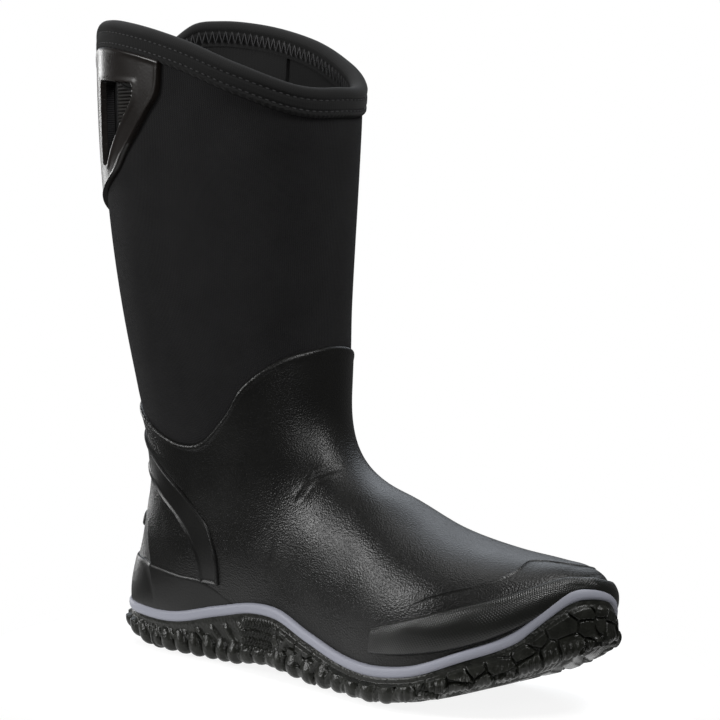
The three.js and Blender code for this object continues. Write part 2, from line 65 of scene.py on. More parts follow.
# Distance forward, top height, half widths on the outer and inner side, shoulder height.
FOOT = [
    (30, 60, 26, 28, 32), (80, 93, 30, 31, 32), (130, 107, 38, 36, 34), (165, 100, 44, 40, 32),
    (200, 87, 51, 45, 32), (235, 79.5, 48, 48, 38), (262, 76.5, 33, 44, 45),
    (278, 74.5, 17, 36, 49), (286, 71, 7, 29.5, 51), (291, 66, -1, 22, 51), (294, 58, -7, 15, 50),
]
# Distance forward, height: the tread's underside and the midsole's top.
SPRING = [
    (-12, 7), (15, 0), (80, 0), (115, 3), (150, 0), (200, 0), (240, 9), (270, 21), (295, 36),
]
MIDSOLE_TOP = [(-12, 21), (60, 21), (110, 21), (170, 14.5), (200, 14.5), (240, 24), (295, 51)]
# Height, distance forward: the front end of the line that the skin's rays start from.
SPINE_FRONT = [
    (40, 254), (60, 244), (72, 222), (87, 162), (100, 124), (115, 92), (140, 81), (370, 86),
]
# Direction, height: lines right round the boot, alike on both sides.
STRIPE_LINE = [
    (0, 63), (14, 60), (25, 53), (37, 41), (50, 31), (62, 20), (70, 17), (78, 18), (88, 25),
    (98, 33), (106, 33), (116, 28), (128, 21), (145, 19.5), (180, 21),
]
RUBBER_EDGE = [
    (0, 172), (20, 170), (35, 166), (48, 158), (58, 149), (68, 135), (77, 125), (88, 118),
    (100, 116), (115, 120), (130, 127), (150, 133), (180, 136),
]
RIM = [
    (0, 308), (36, 310), (60, 320), (81, 331), (104, 338), (119, 339), (130, 337), (141, 328),
    (152, 320), (165, 316), (180, 315),
]
TOE_CAP_EDGE = [
    (0, 76.5), (17, 73.5), (29, 70), (42, 65.5), (51, 62), (59, 57), (67, 47), (71, 37),
]
BUMPER_TOP = [(0, 70.5), (21, 66.5), (37, 61), (51, 54.5), (60, 48.5), (68, 41.5), (72, 38)]
BUMPER_BOTTOM = [(0, 66.5), (18, 60.5), (29, 53.5), (42, 43.8), (56, 34), (72, 28)]
HEEL_BAND_TOP = [
    (108, 30), (113, 35), (117, 40), (120, 43), (127, 44.5), (138, 47), (158, 48), (180, 48.5),
]
# Height, direction: the handle panel's front edge.
HANDLE_EDGE = [
    (228, 175), (232, 162), (239, 146), (248, 128), (259, 113), (272, 105), (286, 98),
    (299, 93), (307, 90), (330, 88.5),
]
# Direction, height: the heel strap's two edges, from the sole to the back of the heel.
STRAP_OUTER = [
    (115.5, 42), (115.8, 56), (116.1, 68), (115.9, 78), (116.4, 86), (119, 93), (123.5, 99),
    (129, 105), (138, 112), (155, 118.5), (180, 121),
]
STRAP_INNER = [
    (120.5, 42), (122, 57), (124.5, 68), (128.5, 78.5), (134, 87), (141, 93), (150, 97.5),
    (163, 100), (180, 100.5),
]
SLOT_CORNERS = [(121, 306), (100, 306), (100, 298), (118, 262), (121, 262)]

TOE_END, FOOT_START = 294, 30
FOOT_ROUNDNESS, LEG_ROUNDNESS = 2.3, 2.15  # exponents: 2 is an ellipse
ANKLE_BLEND, LEAST_BLEND = 25, 0.15  # fillet between foot and leg, and its share at the sole
BLEND_RISE = (18, 66)  # heights between which the fillet grows to its full size
SPINE_BEHIND = 36  # from the leg's back edge to the spine
TOES_BEND = (120, 80)  # where the spine starts to follow the toes inward, and over what length
LONGEST_RAY, HALVINGS = 140, 22

STRIPE_HEIGHT = 5.6
TUCK = 1.5  # how far the rubber reaches down behind the stripe
SHAFT_TUCK = 3  # how far the shaft reaches down behind the rubber
SHAFT_TOP = 4  # the shaft's edge below the rim, inside the binding
STITCH_ROWS = (6.4, 12.2)  # below the rim
SLOT_SNAP = 0.62  # a mesh point nearer a finger slot's edge than this moves onto it
FINGERTIP_ZONE = (140, 220)  # directions of the ribs inside the back wall

# The outside and inside of each layer, as offsets from the skin. The inner handle panel's first
# one is its face toward the calf.
RUBBER_BACK = -1.9
NEOPRENE_LAYER = (-1.5, -5.9)
SHAFT_LINING_LAYER = (-6.2, -6.9)
FOOT_LINING_LAYER = (-7.3, -7.9)
SEAM_TAPE_LAYER = (-7.2, -8.3)
HANDLE_LAYER = (0.8, -1.4)
INNER_HANDLE_LAYER = (-8.4, -7.0)
FLOOR_EDGE, FOOTBED_EDGE = -7.6, -13.4
FLOOR_TOP = 45  # the highest level at which the floor's outline is taken
# Undersides of the foot's lining and of the footbed, above the midsole's top.
LINING_FLOOR, FOOTBED_FLOOR = 7.05, 8.7

GROOVE = 4.2  # depth of the grooves under the sole
WALL_LUGS = 2.9  # depth of the pattern on the sole's side
SOLE_CORNER = 2.5  # radius of the sole's lower edge
SOLE_CORE = 3.5  # thickness of the sole behind its pattern
HEEL_PITCH, BALL_PITCH = 10.6, 12.8  # of the lugs along the sole's edge


class Curve:
    """A smooth line through rows of (t, value), flat beyond its ends."""

    def __init__(self, rows, column=1, level_ends=False):
        table = np.array(rows, float)
        t, value = table[:, 0], table[:, column]
        gap = np.diff(t)
        chord = np.diff(value) / gap
        slope = np.empty_like(value)
        slope[1:-1] = (chord[:-1] * gap[1:] + chord[1:] * gap[:-1]) / (gap[:-1] + gap[1:])
        slope[0], slope[-1] = (0, 0) if level_ends else (chord[0], chord[-1])
        self.t = np.linspace(t[0], t[-1], 4000)
        i = np.clip(np.searchsorted(t, self.t, side="right") - 1, 0, len(gap) - 1)
        s = (self.t - t[i]) / gap[i]
        rise = s * s * (3 - 2 * s)
        bend = slope[i] * s * (1 - s) ** 2 - slope[i + 1] * s * s * (1 - s)
        self.value = value[i] + (value[i + 1] - value[i]) * rise + gap[i] * bend

    def __call__(self, t):
        return np.interp(t, self.t, self.value)


def fold(degrees):
    """Directions of both sides as 0 to 180 degrees from the toe."""
    return 180 - np.abs(180 - np.mod(degrees, 360))


def round_line(rows):
    """A line round the boot, alike on both sides, as a function of direction."""
    half = Curve(rows, level_ends=True)
    return lambda degrees: half(fold(degrees))


leg_back, leg_front, leg_half = (Curve(LEG, c) for c in (1, 2, 3))
foot_top, foot_outer, foot_inner, foot_shoulder = (Curve(FOOT, c) for c in (1, 2, 3, 4))
spring, spine_front, midsole_top = Curve(SPRING), Curve(SPINE_FRONT), Curve(MIDSOLE_TOP)
stripe_line, rubber_edge, rim = (round_line(rows) for rows in (STRIPE_LINE, RUBBER_EDGE, RIM))
cap_edge, bumper_top, bumper_bottom, band_top = (
    round_line(rows) for rows in (TOE_CAP_EDGE, BUMPER_TOP, BUMPER_BOTTOM, HEEL_BAND_TOP))
handle_edge = Curve(HANDLE_EDGE)


# ---------------------------------------------------------------- the skin
def smooth(edge0, edge1, value):
    """0 at one edge, 1 at the other, with a level start and end."""
    t = np.clip((value - edge0) / (edge1 - edge0), 0, 1)
    return t * t * (3 - 2 * t)


def skin_field(x, y, z, leg):
    """Distance-like value, negative inside. leg holds the leg's back, front and half width at z."""
    back, front, half_width = leg
    half_length = (front - back) / 2
    u = np.abs(x - (front + back) / 2) / half_length
    v = np.abs(y) / half_width
    reach = (u ** LEG_ROUNDNESS + v ** LEG_ROUNDNESS) ** (1 / LEG_ROUNDNESS)
    column = (reach - 1) * np.minimum(half_length, half_width)
    outer, inner, shoulder = foot_outer(x), foot_inner(x), foot_shoulder(x)
    half = np.maximum((outer + inner) / 2, 2)
    u = np.abs(y - (inner - outer) / 2) / half
    v = np.maximum(z - shoulder, 0) / np.maximum(foot_top(x) - shoulder, 4)
    reach = (u ** FOOT_ROUNDNESS + v ** FOOT_ROUNDNESS) ** (1 / FOOT_ROUNDNESS)
    foot = np.maximum((reach - 1) * half, np.maximum(x - TOE_END, FOOT_START - x))
    blend = ANKLE_BLEND * (LEAST_BLEND + (1 - LEAST_BLEND) * smooth(*BLEND_RISE, z))
    share = np.clip(0.5 + (foot - column) / (2 * blend), 0, 1)
    return foot + (column - foot) * share - blend * share * (1 - share)


def leg_at(z):
    """The leg's back, front and half width at a height."""
    return leg_back(z), leg_front(z), leg_half(z)


def spine(theta, z):
    """Where the ray of a direction starts, on the boot's middle line."""
    back = leg_back(z) + SPINE_BEHIND
    x = back + (spine_front(z) - back) * (1 + np.cos(theta)) / 2
    toes = np.clip((x - TOES_BEND[0]) / TOES_BEND[1], 0, 1)
    y = (foot_inner(x) - foot_outer(x)) / 2 * toes
    return x, y


def skin_normal(p):
    """Outward direction of the skin at each point."""
    x, y, z = p[..., 0], p[..., 1], p[..., 2]
    h, here = 0.5, leg_at(z)
    normal = np.stack([
        skin_field(x + h, y, z, here) - skin_field(x - h, y, z, here),
        skin_field(x, y + h, z, here) - skin_field(x, y - h, z, here),
        skin_field(x, y, z + h, leg_at(z + h)) - skin_field(x, y, z - h, leg_at(z - h)),
    ], -1)
    return unit(normal)


def unit(vectors):
    return vectors / np.linalg.norm(vectors, axis=-1, keepdims=True)


def skin(degrees, z, offset=0.0):
    """Points at an offset from the skin, one for each direction and height."""
    degrees, z, offset = (a.astype(float) for a in np.broadcast_arrays(degrees, z, offset))
    theta = np.radians(degrees)
    start_x, start_y = spine(theta, z)
    ray_x, ray_y = np.cos(theta), -np.sin(theta)
    here = leg_at(z)
    near, far = np.zeros_like(z), np.full_like(z, LONGEST_RAY)
    for _ in range(HALVINGS):
        middle = (near + far) / 2
        inside = skin_field(start_x + middle * ray_x, start_y + middle * ray_y, z, here) < 0
        near, far = np.where(inside, middle, near), np.where(inside, far, middle)
    point = np.stack([start_x + near * ray_x, start_y + near * ray_y, z], -1)
    return point + offset[..., None] * skin_normal(point)


def stripe_top(a):
    return stripe_line(a) + STRIPE_HEIGHT / 2


def stripe_bottom(a):
    return stripe_line(a) - STRIPE_HEIGHT / 2


def tread(x):
    """Height of the tread's underside above the ground."""
    return np.maximum(0, spring(x))


def bump(distance, width):
    """A bell that is 1 at no distance and falls to 0.37 at its width."""
    return np.exp(-(distance / width) ** 2)


# ---------------------------------------------------------------- solids
def solid(name, surface, look, stands_for=None, body="boot", crease=40):
    """A closed mesh object in the frame. surface holds its points in mm, faces and flow."""
    points, faces, flow = surface
    mesh = bpy.data.meshes.new(name)
    mesh.from_pydata(((points.reshape(-1, 3) - DATUM) / 1000).tolist(), [], faces.tolist())
    if flow is not None:
        layer = mesh.attributes.new("flow", "FLOAT_VECTOR", "POINT")
        layer.data.foreach_set("vector", flow.astype(np.float32).ravel())
    working = bmesh.new()
    working.from_mesh(mesh)
    bmesh.ops.recalc_face_normals(working, faces=working.faces)
    working.to_mesh(mesh)
    working.free()
    mesh.shade_smooth()
    mesh.set_sharp_from_angle(angle=math.radians(crease))
    mesh.materials.append(look)
    piece = bpy.data.objects.new(name, mesh)
    bpy.context.collection.objects.link(piece)
    if stands_for:
        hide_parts(stands_for)
    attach(piece, body)
    return piece


def running_length(points):
    """Length along the first axis of a line or grid of points, from its start."""
    steps = np.linalg.norm(np.diff(points, axis=0), axis=-1)
    return np.concatenate([np.zeros((1,) + steps.shape[1:]), np.cumsum(steps, axis=0)])


def mean_lengths(grid):
    """Running length along the first axis of a grid, the mean over the other."""
    steps = np.linalg.norm(np.diff(grid, axis=0), axis=-1).mean(axis=1)
    return np.concatenate([[0], np.cumsum(steps)])


def sheet(outer, inner, wraps=True, keep=None):
    """Points, faces and flow of a closed sheet between two grids; keep drops quads for holes.
    flow is the length along and up the sheet, in mm, for materials that follow it."""
    rows, columns = outer.shape[:2]
    index = np.arange(rows * columns).reshape(rows, columns)
    left, right = (index, np.roll(index, -1, 1)) if wraps else (index[:, :-1], index[:, 1:])
    quads = np.stack([left[:-1], left[1:], right[1:], right[:-1]], -1).reshape(-1, 4)
    if keep is not None:
        quads = quads[keep.ravel()]
    under = rows * columns
    edges = np.concatenate([quads[:, [i, (i + 1) % 4]] for i in range(4)])
    key = edges.min(1) * under + edges.max(1)
    _, where, count = np.unique(key, return_index=True, return_counts=True)
    a, b = edges[where[count == 1]].T
    rims = np.stack([b, a, a + under, b + under], -1)
    faces = np.concatenate([quads, quads[:, ::-1] + under, rims])
    points = np.concatenate([outer.reshape(-1, 3), inner.reshape(-1, 3)])
    used = np.unique(faces)
    renumber = np.zeros(len(points), int)
    renumber[used] = np.arange(len(used))
    u, v = np.meshgrid(mean_lengths(outer.swapaxes(0, 1)), mean_lengths(outer))
    flow = np.stack([u, v, np.zeros_like(u)], -1).reshape(-1, 3)
    flow = np.concatenate([flow, flow + [0, 0, 1]])
    return points[used], renumber[faces], flow[used]


def ring(count):
    """Directions right round the boot, from the back of the heel."""
    return 180 + np.arange(count)[None, :] * 360 / count


def across(start, end, count):
    """Directions from one to another, as one row of a grid."""
    return np.linspace(start, end, count)[None, :]


def spread(count, edge=0.0):
    """Shares from 0 to 1 as a grid's column, closer together at both ends where edge is near 1."""
    t = np.linspace(0, 1, count)
    return (t + edge * (0.5 - 0.5 * np.cos(np.pi * t) - t))[:, None]


def between(low, high, share):
    return low + (high - low) * share


def rounded(distance, radius):
    """Share of full height at a distance in from a rounded edge."""
    t = np.clip(distance / radius, 0, 1)
    return np.sqrt(1 - (1 - t) ** 2)


def rim_distance(grid, ends=True):
    """Distance in mm from each point of a grid to the grid's nearest edge."""
    up = running_length(grid)
    distance = np.minimum(up, up[-1] - up)
    if ends:
        along = running_length(grid.swapaxes(0, 1)).T
        distance = np.minimum(distance, np.minimum(along, along[:, -1:] - along))
    return distance


def overlay(name, degrees, z, height, look, base, radius, ends=True):
    """A piece laid on the skin with rounded edges, from base to a height over the skin. height
    is a number, a row of them or a function of the distance from the piece's edge."""
    grid = skin(degrees, z)
    edge = rim_distance(grid, ends)
    full = height(edge) if callable(height) else height
    normal = skin_normal(grid)
    outer = grid + (base + (full - base) * rounded(edge, radius))[..., None] * normal
    inner = grid + (base - 0.2) * normal
    solid(name, sheet(outer, inner, wraps=False), look, name)


# ---------------------------------------------------------------- materials
class Look:
    """A material: a Principled shader and the nodes that drive it."""

    def __init__(self, name, roughness, **constants):
        self.material = bpy.data.materials.new(name)
        self.material.use_nodes = True
        self.tree = self.material.node_tree
        self.shader = self.tree.nodes["Principled BSDF"]
        self.shader.inputs["Roughness"].default_value = roughness
        for socket, value in constants.items():
            self.shader.inputs[socket.replace("_", " ")].default_value = value
        place = self.tree.nodes.new("ShaderNodeTexCoord")
        self.place = place.outputs["Object"]

    def node(self, kind, output, settings=(), **inputs):
        """A node's output. Inputs are named by socket, or _0, _1 and so on by number."""
        node = self.tree.nodes.new("ShaderNode" + kind)
        for key, value in dict(settings).items():
            setattr(node, key, value)
        for key, value in inputs.items():
            socket = node.inputs[int(key[1:])] if key[1:].isdigit() else node.inputs[key]
            if isinstance(value, bpy.types.NodeSocket):
                self.tree.links.new(value, socket)
            else:
                socket.default_value = value
        return node.outputs[output]

    def math(self, operation, a, b=0.0):
        return self.node("Math", 0, {"operation": operation}, _0=a, _1=b)

    def noise(self, scale, detail=2.0, roughness=0.5):
        return self.node("TexNoise", 0, Vector=self.place, Scale=scale, Detail=detail,
                         Roughness=roughness)

    def pebbles(self, size):
        """Rounded cells of a size in mm."""
        return self.node("TexVoronoi", 0, {"feature": "SMOOTH_F1"}, Vector=self.place,
                         Scale=1000 / size, Smoothness=0.6)

    def flow(self):
        """Length along the piece and up it, in mm."""
        vector = self.node("Attribute", "Vector", {"attribute_name": "flow"})
        parts = self.tree.nodes.new("ShaderNodeSeparateXYZ")
        self.tree.links.new(vector, parts.inputs[0])
        return parts.outputs[0], parts.outputs[1]

    def wave(self, coordinate, pitch):
        """A ripple from 0 to 1 along a coordinate in mm."""
        turns = self.math("MULTIPLY", coordinate, 2 * math.pi / pitch)
        return self.math("MULTIPLY", self.math("ADD", self.math("SINE", turns), 1.0), 0.5)

    def span(self, value, low, high, to_low, to_high):
        return self.node("MapRange", 0, _0=value, _1=low, _2=high, _3=to_low, _4=to_high)

    def colour(self, fac, low, high):
        out = self.node("Mix", 2, {"data_type": "RGBA"}, _0=fac, _6=(*low, 1), _7=(*high, 1))
        self.tree.links.new(out, self.shader.inputs["Base Color"])

    def roughness(self, fac, low, high):
        self.tree.links.new(self.span(fac, 0.3, 0.7, low, high), self.shader.inputs["Roughness"])

    def relief(self, *layers):
        """Bumps from (height socket, depth in mm) pairs, each laid over the one before."""
        normal = None
        for height, depth in layers:
            node = self.tree.nodes.new("ShaderNodeBump")
            node.inputs["Strength"].default_value = 1
            node.inputs["Distance"].default_value = depth / 1000
            self.tree.links.new(height, node.inputs["Height"])
            if normal:
                self.tree.links.new(normal, node.inputs["Normal"])
            normal = node.outputs[0]
        self.tree.links.new(normal, self.shader.inputs["Normal"])


FINE_GRAIN = 1500  # cells per metre of a rubber's finest texture


def rubber_look(name, dark, light, roughness, grain, depth, specular=0.35, patches=30):
    """Moulded rubber with a pebbled grain: grain and depth in mm, patches of tone per metre."""
    look = Look(name, roughness, Specular_IOR_Level=specular)
    cloud = look.noise(patches, 3)
    look.colour(cloud, dark, light)
    look.roughness(cloud, roughness - 0.05, roughness + 0.06)
    look.relief((look.pebbles(grain), depth), (look.noise(FINE_GRAIN, 2), depth * 0.5))
    return look.material


def knit_look(name, dark, light, wale, course, depth, sheen):
    """Knitted cloth: wale and course pitch in mm, with loops, fuzz and a slow unevenness."""
    look = Look(name, 0.92, Specular_IOR_Level=0.12, Sheen_Weight=sheen, Sheen_Roughness=0.6)
    u, v = look.flow()
    sway = look.math("MULTIPLY", look.wave(v, course), wale * 0.35)
    ribs = look.wave(look.math("ADD", u, sway), wale)
    loops = look.math("MULTIPLY", ribs, look.span(look.wave(v, course), 0, 1, 0.55, 1))
    cloud = look.noise(45, 4, 0.6)
    fuzz = look.noise(1400, 2)
    shade = look.math("ADD", look.math("MULTIPLY", loops, 0.45), look.math("MULTIPLY", cloud, 0.6))
    look.colour(shade, dark, light)
    look.relief((loops, depth), (fuzz, depth * 0.6), (look.noise(35, 2), 0.5))
    return look.material


def plain_look(name, dark, light, roughness, scale, depth, **constants):
    """A speckled surface, for thread and parts inside: scale in specks per metre."""
    look = Look(name, roughness, **constants)
    speck = look.noise(scale, 4, 0.6)
    look.colour(speck, dark, light)
    look.relief((speck, depth))
    return look.material


def ribbed_look(name, dark, light, roughness, pitch, depth, crossed):
    """Rubber with fine moulded ribs: level ones, or two slanted sets that cross."""
    look = Look(name, roughness, Specular_IOR_Level=0.4)
    u, v = look.flow()
    if crossed:
        rise = look.math("MULTIPLY", v, 0.8)
        one = look.wave(look.math("ADD", u, rise), pitch)
        other = look.wave(look.math("SUBTRACT", u, rise), pitch * 1.15)
        ribs = look.math("MAXIMUM", one, look.math("MULTIPLY", other, 0.85))
    else:
        ribs = look.wave(v, pitch)
    cloud = look.noise(60, 3)
    look.colour(look.math("MULTIPLY", ribs, cloud), dark, light)
    look.relief((ribs, depth), (look.noise(900, 2), 0.03))
    return look.material


UPPER = rubber_look("upper_rubber", (0.0036, 0.0036, 0.0033), (0.0060, 0.0060, 0.0055),
                    roughness=0.34, grain=0.85, depth=0.18, specular=0.30)
SMOOTH = rubber_look("smooth_rubber", (0.0038, 0.0038, 0.0035), (0.0064, 0.0064, 0.0060),
                     roughness=0.38, grain=1.0, depth=0.05, specular=0.28)
SOLE = rubber_look("outsole_rubber", (0.0020, 0.0020, 0.0017), (0.0180, 0.0190, 0.0150),
                   roughness=0.32, grain=1.5, depth=0.20, specular=0.25, patches=240)
GLOSS = rubber_look("handle_rubber", (0.0080, 0.0062, 0.0052), (0.0110, 0.0088, 0.0076),
                    roughness=0.30, grain=1.6, depth=0.03, specular=0.30)
STRIPE = rubber_look("stripe_rubber", (0.235, 0.242, 0.285), (0.285, 0.292, 0.340),
                     roughness=0.5, grain=0.9, depth=0.03)
BUMPER = ribbed_look("bumper_rubber", (0.0040, 0.0042, 0.0036), (0.0110, 0.0118, 0.0100),
                     roughness=0.28, pitch=1.35, depth=0.13, crossed=True)
RIBS = ribbed_look("grip_rubber", (0.0200, 0.0190, 0.0180), (0.0600, 0.0570, 0.0540),
                   roughness=0.45, pitch=50.0, depth=0.05, crossed=False)
NEOPRENE = knit_look("neoprene_jersey", (0.0040, 0.0040, 0.0042), (0.0190, 0.0187, 0.0195),
                     wale=1.1, course=1.0, depth=0.25, sheen=0.02)
TAPE = knit_look("binding_tape", (0.0060, 0.0060, 0.0060), (0.0120, 0.0120, 0.0120),
                 wale=1.3, course=1.0, depth=0.09, sheen=0.05)
LINING = knit_look("lining_jersey", (0.0060, 0.0060, 0.0060), (0.0110, 0.0110, 0.0112),
                   wale=1.2, course=1.0, depth=0.07, sheen=0.08)
FOOTBED = knit_look("footbed_cloth", (0.0200, 0.0200, 0.0215), (0.0400, 0.0400, 0.0430),
                    wale=1.6, course=1.6, depth=0.12, sheen=0.1)
THREAD = plain_look("thread", (0.014, 0.014, 0.015), (0.034, 0.034, 0.036),
                    roughness=0.6, scale=900, depth=0.05)
FOAM = plain_look("foam", (0.035, 0.035, 0.04), (0.07, 0.07, 0.078),
                  roughness=0.9, scale=700, depth=0.3)
BOARD = plain_look("fibre_board", (0.20, 0.155, 0.10), (0.33, 0.27, 0.19),
                   roughness=0.85, scale=350, depth=0.1)
STEEL = plain_look("shank_steel", (0.38, 0.39, 0.41), (0.50, 0.51, 0.53),
                   roughness=0.35, scale=500, depth=0.02, Metallic=1.0)


# ---------------------------------------------------------------- the rubber foot
CREASES = [  # (direction, height) along each flex crease, depth, width, lift of the fold beside it
    ([(47, 102), (57.5, 97.5), (67.5, 92.5)], 0.9, 1.15, 0.7),
    ([(18, 110), (29.5, 108), (38, 106), (45, 103.5)], 0.8, 1.8, 0.7),
    ([(96.5, 72), (100, 61), (102.5, 50)], 0.45, 1.6, 0.3),
]
SWELLS = [  # (direction, height), rise and radius of the soft bulges between the creases
    ((16, 120), 0.8, 11), ((80, 78), 0.9, 16), ((60, 80), 0.5, 9),
]


def creased(grid):
    """How far flex wrinkles lift or sink each point of the rubber."""
    steps, reach = 24, 32
    move = np.zeros(grid.shape[:-1])
    for places, depth, width, lift in CREASES:
        line = skin(*np.array(places, float).T)
        run = np.linspace(0, len(line) - 1, steps)
        fine = np.stack([np.interp(run, np.arange(len(line)), axis) for axis in line.T], -1)
        near = np.abs(grid - fine[steps // 2]).max(-1) < reach
        gaps = np.linalg.norm(grid[near][:, None] - fine[None], axis=-1)
        distance, where = gaps.min(1), gaps.argmin(1)
        fade = np.sin(np.pi * (where + 0.5) / steps) ** 0.7
        ridge, groove = bump(distance, width * 3.2), bump(distance, width)
        move[near] += fade * (lift * ridge - (depth + lift) * groove)
    for (degrees, height), rise, radius in SWELLS:
        centre = skin(degrees, height)
        move = move + rise * bump(np.linalg.norm(grid - centre, axis=-1), radius)
    return move


def foot_shell():
    """The one-piece rubber foot, from behind the stripe up to its rolled edge on the shaft."""
    a = ring(720)
    share = spread(260, 0.15)
    low = stripe_top(a) - TUCK
    grid = skin(a, between(low, rubber_edge(a), share ** 1.25))
    normal = skin_normal(grid)
    edge = rim_distance(grid, ends=False)
    roll = 1.3 * (rounded(edge, 1.6) - 1)
    bead = 0.35 * bump(edge - 2.2, 1.4)
    lip = np.where(share > 0.5, roll + bead, 0)
    outer = grid + (creased(grid) + lip)[..., None] * normal
    inner = grid + RUBBER_BACK * normal
    solid("rubber_foot", sheet(outer, inner), UPPER, "foot_shell")


def toe_cap():
    """A thin second layer over the toes, with a bead on its edge that fades out on the inner side."""
    half_turn = TOE_CAP_EDGE[-1][0]
    a = across(-half_turn, half_turn, 360)
    side = np.abs(a)
    layer = 0.02 + 0.12 * smooth(64, 44, side)
    bead = 0.55 * smooth(66, 50, side) * smooth(-50, -10, a)
    overlay("toe_cap", a, between(stripe_top(a) - TUCK, cap_edge(a), spread(70, 0.6)),
            lambda edge: layer + bead * bump(edge - 0.9, 0.75),
            UPPER, base=-0.35, radius=0.8, ends=False)


def toe_bumper():
    """A ribbed swelling round the toe above the stripe, which fades out along the sides."""
    half_turn = 71.5
    a = across(-half_turn, half_turn, 420)
    fade = 0.3 + 0.7 * smooth(half_turn, 61, np.abs(a))
    overlay("toe_bumper", a, between(bumper_bottom(a) - 2.5, bumper_top(a), spread(40, 0.5)),
            lambda edge: fade * (1.2 + 2.4 * rounded(edge, 8.5)),
            BUMPER, base=-0.2, radius=1.5)


def heel_band():
    """A smooth band round the heel above the stripe."""
    half_turn = 70
    a = across(180 - half_turn, 180 + half_turn, 300)
    layer = 0.15 + 1.0 * smooth(65, 54, np.abs(a - 180))
    overlay("heel_band", a, between(stripe_top(a) - TUCK, band_top(a), spread(40, 0.6)), layer,
            SMOOTH, base=-0.4, radius=2.2, ends=False)


def strap_side(rows, share):
    """Direction and height on an edge of the strap, at a share of its way round the heel."""
    table = np.array(rows, float)
    run = running_length(table)
    place = (1 - np.abs(2 * share - 1)) * run[-1]
    degrees, height = (Curve(list(zip(run, column)))(place) for column in table.T)
    return np.where(share < 0.5, degrees, 360 - degrees), height


def heel_strap():
    """A strap with raised edges, from the sole up round the back of the heel and down again."""
    share = np.linspace(0, 1, 420)
    v = spread(26, 0.6)
    outer_a, outer_z = strap_side(STRAP_OUTER, share)
    inner_a, inner_z = strap_side(STRAP_INNER, share)
    overlay("heel_strap", between(inner_a, outer_a, v), between(inner_z, outer_z, v),
            lambda edge: 0.9 + 0.8 * bump(edge - 1.0, 0.9),
            SMOOTH, base=-0.5, radius=1.0)


def heel_badge():
    """A blank oval badge with a dished face at the back of the heel."""
    half_turn, half_height, middle = 27, 6.3, 67
    angle = np.linspace(0, 2 * np.pi, 96, endpoint=False)[None, :]
    r = spread(16, 0.3)
    a, z = 180 + half_turn * r * np.cos(angle), middle + half_height * r * np.sin(angle)
    height = 1.5 * rounded((1 - r) * 8, 1.6) - 0.5 * smooth(0.86, 0.78, r)
    outer, inner = skin(a, z, height), skin(a, z, -0.4)
    solid("heel_badge", sheet(outer[::-1], inner[::-1]), SMOOTH, "heel_badge")


def foxing_stripe():
    """The pale moulded stripe between the rubber foot and the outsole."""
    a = ring(900)
    section = [(-0.6, -2.9), (1.0, -2.9), (2.0, -2.3), (2.5, -1.1), (2.6, 0.3), (2.4, 1.6),
               (1.8, 2.5), (0.9, 2.9), (-0.6, 2.9)]  # offset from the skin, height
    offset, rise = np.array(section).T[..., None]
    z = stripe_line(a) + rise
    solid("foxing_stripe", sheet(skin(a, z, offset), skin(a, z, -1.2)), STRIPE,
          "foxing_stripe", crease=60)


# ---------------------------------------------------------------- the shaft
def slot_distance(a, z):
    """Distance in mm to a finger slot's edge, negative inside; a degree is about a mm here."""
    corners = np.array(SLOT_CORNERS, float)
    sides = []
    for start, end in zip(corners, np.roll(corners, -1, axis=0)):
        along = (end - start) / np.linalg.norm(end - start)
        sides.append((fold(a) - start[0]) * along[1] - (z - start[1]) * along[0])
    sharpness = 1.4  # of the corners: the higher, the tighter
    return np.log(sum(np.exp(sharpness * side) for side in sides)) / sharpness


def with_slots(a, z):
    """The grid's places, moved onto the slots' edges where near, and the quads to keep."""
    a, z = (grid.astype(float).copy() for grid in np.broadcast_arrays(a, z))
    h = 0.05
    for _ in range(3):
        far = slot_distance(a, z)
        slope_a = (slot_distance(a + h, z) - far) / h
        slope_z = (slot_distance(a, z + h) - far) / h
        steep = np.maximum(slope_a ** 2 + slope_z ** 2, 0.3)
        move = np.where(np.abs(far) < SLOT_SNAP, -far / steep, 0)
        a, z = a + move * slope_a, z + move * slope_z
    far = slot_distance(a, z)
    corners = np.stack([far[:-1, :-1], far[1:, :-1], far[1:, 1:], far[:-1, 1:]])
    return a, z, corners.mean(0) > 0.02


def shaft_layer(name, layer, look, columns, rows):
    """A softly uneven wall of the shaft, with both finger slots cut through it."""
    a = across(180, 540, columns + 1)
    v = spread(rows, 0.1)
    low = rubber_edge(a) - SHAFT_TUCK
    a, z, keep = with_slots(a, between(low, rim(a) - SHAFT_TOP, v))
    outer, inner = (skin(a, z, offset) for offset in layer)
    wobble = 0.35 * np.sin(outer[..., 2] / 31 + 2 * np.sin(np.radians(a))) * smooth(0, 0.2, v)
    outer = outer + (wobble * smooth(1, 0.85, v))[..., None] * skin_normal(outer)
    solid(name, sheet(outer, inner, wraps=False, keep=keep), look, name)


def handle(name, layer, drop, inset, look, lip):
    """A V-shaped panel over the back of the shaft, with both slots through it. drop is from the
    rim, inset how much smaller it is than the outer panel, lip the rise along its edges."""
    outside, inside = layer
    base, widest = HANDLE_EDGE[0][0] + inset, HANDLE_EDGE[-1][0]
    v = spread(170, 0.15) ** 1.25
    reach = 180 - handle_edge(between(base, widest, v)) - inset / 2 + 1.0
    a = 180 + (2 * spread(300, 0.1).T - 1) * reach
    a, z, keep = with_slots(a, between(base, rim(a) - drop, v))
    grid = skin(a, z)
    normal = skin_normal(grid)
    edge = rim_distance(grid)
    slot_edge = np.maximum(slot_distance(a, z), 0)
    relief = lip * (bump(edge - 1.6, 1.1) + bump(slot_edge - 1.5, 1.2))
    round_off = np.minimum(rounded(edge, 1.3), rounded(slot_edge, 1.0))
    outer = grid + (between(inside, outside, round_off) + relief)[..., None] * normal
    inner = grid + (inside - 0.3) * normal
    solid(name, sheet(outer, inner, wraps=False, keep=keep), look, name)


